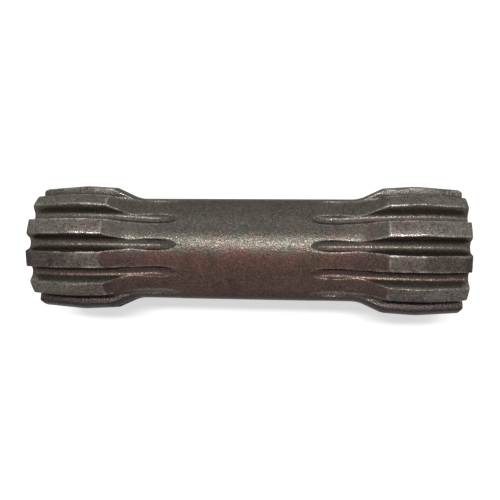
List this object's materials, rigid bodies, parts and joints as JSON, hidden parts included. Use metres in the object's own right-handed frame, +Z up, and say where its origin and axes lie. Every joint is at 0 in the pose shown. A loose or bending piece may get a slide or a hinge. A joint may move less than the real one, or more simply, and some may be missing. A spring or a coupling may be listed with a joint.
{
  "type": "pinion shaft",
  "caption": "Short steel drive shaft with a crowned toothed head at each end and a plain waist, made from one bar.",
  "frame": {"origin": "middle of the shaft, on its axis", "axes": "+X along the shaft; +Z up with the shaft lying on two teeth of each head, so that a tooth space points straight up"},
  "size_m": [0.1036, 0.0316, 0.0316],
  "materials": {
    "steel": "dark oiled steel, worn bright along the edges"
  },
  "bodies": {
    "root": {"pinion_shaft": "steel"}
  },
  "joints": []
}
